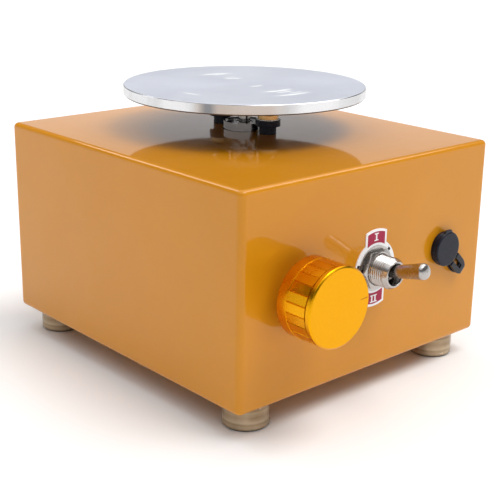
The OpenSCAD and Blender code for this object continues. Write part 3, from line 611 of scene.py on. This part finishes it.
def add_knob(material, dark):
    """Turned knob: a plain rear ring, a grip of flats between narrow flutes, and a bevelled front ring."""
    r, rear, grip_start, grip_end, front, face_r = 14.8, 5.9, 10.3, 19.3, 21.7, 14.15
    grip_r, groove_r, recess_r, recess = 14.76, 14.06, 7.5, 2
    flutes, flute_depth, flute_half_turn, pointer = 24, 0.4, 0.8, 4.0
    step = 360 / flutes

    def grip(out):
        def row(turn):
            off = abs((turn - pointer + step / 2) % step - step / 2)
            flat = grip_r * math.cos(math.radians(step / 2)) / math.cos(math.radians(step / 2 - off))
            return flat - flute_depth * max(0, 1 - off / flute_half_turn), out
        return row

    rows = [(recess_r, rear), (r - 0.3, rear)] + arc(r - 0.3, rear + 0.3, 0.3, -60, 0, 3)
    rows += [(r, grip_start - 0.08), (r - 0.04, grip_start)]
    rows += [grip(grip_start + 0.02), grip(grip_end - 0.1)]
    rows += [(groove_r, grip_end), (groove_r, grip_end + 0.35)]
    rows += [(r - 0.06, grip_end + 0.37), (r, grip_end + 0.45), (r, front - 0.6)]
    rows += [(r - 0.04, front - 0.52), (r - 0.14, front - 0.42), (face_r + 0.05, front - 0.03)]
    rows += [(face_r, front), (6, front), (NEAR_AXIS, front)]
    rows += [(NEAR_AXIS, rear + recess), (recess_r, rear + recess)]
    points, faces = turned(KNOB, rows, 720)
    make_piece("knob_turned", points, faces, material, "speed_knob", ("knob",), 24)
    across, up = math.cos(math.radians(pointer)), math.sin(math.radians(pointer))
    inner, outer, inner_half, outer_half = face_r - 3.9, face_r - 0.5, 0.12, 0.17
    corners = ((inner, inner_half), (inner, -inner_half), (outer, -outer_half), (outer, outer_half))
    outline = [(far * across - side * up, far * up + side * across) for far, side in corners]
    points, faces = plate(KNOB, outline, front - 0.05, front + 0.01)
    make_piece("knob_pointer", points, faces, dark, "speed_knob")


def add_nut(material):
    """Hexagon nut with its corners chamfered on both sides."""
    low, high = (-(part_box("switch_nut")[i][1] - PANEL_Y) / MM for i in (1, 0))
    half_flats, bore, bore_chamfer, corner_slope = 7.0, 6.0, 0.35, 28
    flat_r = half_flats - 0.15

    def reach(turn):
        return half_flats / math.cos(math.radians(turn % 60 - 30))

    def drop(turn):
        return (reach(turn) - flat_r) * math.tan(math.radians(corner_slope))

    rows = [(bore, low), (flat_r, low)]
    rows += [lambda turn: (reach(turn), low + drop(turn)), lambda turn: (reach(turn), high - drop(turn))]
    rows += [(flat_r, high), (bore + bore_chamfer, high), (bore, high - bore_chamfer)]
    points, faces = turned(SWITCH, rows, 120)
    make_piece("switch_nut_chamfered", points, faces, material, "base", ("switch_nut",), 20)


def add_label_print(red, white, dark):
    """Print on the switch plate: two red fields with white numerals, and the marks of its key."""
    top = -(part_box("switch_label")[0][1] - PANEL_Y) / MM
    half, inner, outer, steps = 4.75, 9.9, 14.35, 12
    for side, name in ((1, "top"), (-1, "bottom")):
        inner_turn, outer_turn = (math.degrees(math.asin(half / r)) for r in (inner, outer))
        outline = []
        for i in range(steps + 1):
            turn = math.radians(-outer_turn + 2 * outer_turn * i / steps)
            outline.append((outer * math.sin(turn), side * outer * math.cos(turn)))
        for i in range(steps + 1):
            turn = math.radians(inner_turn - 2 * inner_turn * i / steps)
            outline.append((inner * math.sin(turn), side * inner * math.cos(turn)))
        points, faces = plate(SWITCH, outline, top - 0.05, top + 0.02)
        make_piece("label_field_" + name, points, faces, red, "base")
        middle_y, serif_y = side * 12.25, 1.28
        strokes, serif_half = ([0], 1.1) if side > 0 else ([-0.9, 0.9], 1.9)
        # Upright strokes and two serifs, each with its middle, half width and half height
        bars = [(x, middle_y, 0.38, 1.4) for x in strokes]
        bars += [(0, middle_y + serif_y, serif_half, 0.22), (0, middle_y - serif_y, serif_half, 0.22)]
        for i, (x, y, w, h) in enumerate(bars):
            # Each bar stands a little prouder than the last, so that no faces coincide
            outline = [(x - w, y - h), (x + w, y - h), (x + w, y + h), (x - w, y + h)]
            points, faces = plate(SWITCH, outline, top, top + 0.04 + 0.005 * i)
            make_piece("label_numeral_%s_%d" % (name, i), points, faces, white, "base")
    # Marks of the key: start and end angle, inner and outer radius
    marks = ((163, 178, 9.0, 10.3), (182, 199, 9.0, 10.3), (36, 44, 9.2, 10.2))
    for i, (start, end, low, high) in enumerate(marks):
        between = (start + end) / 2
        turns = [(low, a) for a in (start, between, end)] + [(high, a) for a in (end, between, start)]
        outline = [(far * math.cos(math.radians(a)), far * math.sin(math.radians(a))) for far, a in turns]
        points, faces = plate(SWITCH, outline, top - 0.05, top + 0.03)
        make_piece("label_mark_%d" % i, points, faces, dark, "base")


def add_dust_cap(material, shiny):
    """Moulded rubber cap: a round face over a thin skirt with a groove, a plug inside, and a thumb lip."""
    r, rear, front = 7.1, 1.1, 3.6
    skirt_r, plug_r, hollow_r, roof, plug_end, chamfer = 6.3, 2.5, 1.5, 2.1, 0.8, 0.15
    rows = [(NEAR_AXIS, front), (3.0, front), (r - 0.75, front - 0.02)]
    rows += arc(r - 0.7, front - 0.72, 0.7, 90, 0)
    rows += [(r, 2.55), (r - 0.08, 2.45), (r - 0.28, 2.36), (r - 0.28, 2.2), (r - 0.08, 2.1), (r, 2.0)]
    rows += arc(r - 0.25, rear + 0.25, 0.25, 0, -90, 3) + [(skirt_r, rear), (skirt_r, roof)]
    rows += [(plug_r, roof), (plug_r, plug_end + chamfer), (plug_r - chamfer, plug_end)]
    rows += [(hollow_r, plug_end), (hollow_r, roof), (NEAR_AXIS, roof)]
    points, faces = turned(JACK, rows, 96, False)
    make_piece("dust_cap_moulded", points, faces, material, "inlet_cap", ("dust_cap",), 60)
    corner_x, corner_y, corner_r, root_y = 1.05, 6.6, 1.35, 5.6
    outline = []
    for side, start in ((1, 0), (-1, 90)):
        for i in range(7):
            turn = math.radians(start + 15 * i)
            x = side * corner_x + corner_r * math.cos(turn)
            outline.append((x, corner_y + corner_r * math.sin(turn)))
    outline += [(-corner_x - corner_r, root_y), (corner_x + corner_r, root_y)]
    points, faces = plate(JACK, outline, 2.35, 3.25)
    lip = make_piece("dust_cap_lip", points, faces, shiny, "inlet_cap", crease=180)
    soften(lip, 0.3)


def add_strap(material):
    """Rubber strap, folded back on itself between the ring and the cap, with a slot through both layers."""
    turn = math.radians(45)
    fold_u, fold_r, thin, half, end_r = 15.3, 1.5, 0.8, 3.25, 4.4
    mid_r = fold_r - thin / 2
    root_u, stride = 6.2, 0.3
    path = [(root_u + stride * i, thin / 2) for i in range(31)]
    path = [(u, z) for u, z in path if u < fold_u - 0.05]
    for a in range(-90, 91, 15):
        path.append((fold_u + mid_r * math.cos(math.radians(a)), fold_r + mid_r * math.sin(math.radians(a))))
    path += [(fold_u - stride * i, 2 * fold_r - thin / 2) for i in range(1, 26)]
    # Slot in the outer layer and wider gap in the inner one: start, end, and share of the strap's width
    slot, gap = (7.9, 13.4, 0.28), (7.4, 15.0, 0.62)
    sides = [-1, -0.86, -gap[2], -0.42, -slot[2], 0, slot[2], 0.42, gap[2], 0.86, 1]
    end_u = fold_u + mid_r

    def half_width(u):
        bend = max(0, u - (end_u - end_r))
        return half * math.sqrt(1 - (bend / end_r * 0.96) ** 2)

    mesh = bpy.data.meshes.new("cap_strap_folded")
    points, faces = [], []
    for u, z in path:
        for side in sides:
            v = side * half_width(u)
            right = u * math.cos(turn) + v * math.sin(turn)
            up = -u * math.sin(turn) + v * math.cos(turn)
            points.append(tuple(on_panel(JACK, right, up, z)))
    for i in range(len(path) - 1):
        u = (path[i][0] + path[i + 1][0]) / 2
        low, high, open_to = gap if path[i][1] < fold_r else slot
        for k in range(len(sides) - 1):
            edge = max(abs(sides[k]), abs(sides[k + 1]))
            if low < u < high and edge <= open_to + 0.01:
                continue
            first = i * len(sides) + k
            faces.append((first, first + 1, first + len(sides) + 1, first + len(sides)))
    mesh.from_pydata(points, [], faces)
    mesh.materials.append(material)
    strap = bpy.data.objects.new("cap_strap_folded", mesh)
    scene.collection.objects.link(strap)
    body = strap.modifiers.new("body", "SOLIDIFY")
    body.thickness = (thin - 0.04) * MM
    body.offset = 0
    body.use_even_offset = True
    soften(strap, 0.16, 3)
    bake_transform(strap)
    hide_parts("cap_strap")


# ---------- build ----------

add_camera()
add_studio()
slots = dress_nodes()
add_knob(slots["knob_anodised"], ink("pointer_line", (0.45, 0.14, 0.004)))
add_bushing(slots["nickel"])
add_nut(slots["nickel"])
red_ink = ink("ink_red", (0.40, 0.018, 0.065))
white_ink = ink("ink_white", (0.95, 0.95, 0.96))
dark_ink = ink("ink_dark", (0.012, 0.012, 0.02))
add_label_print(red_ink, white_ink, dark_ink)
smooth_rubber = gloss_rubber()
add_dust_cap(slots["black_rubber"], smooth_rubber)
add_strap(smooth_rubber)
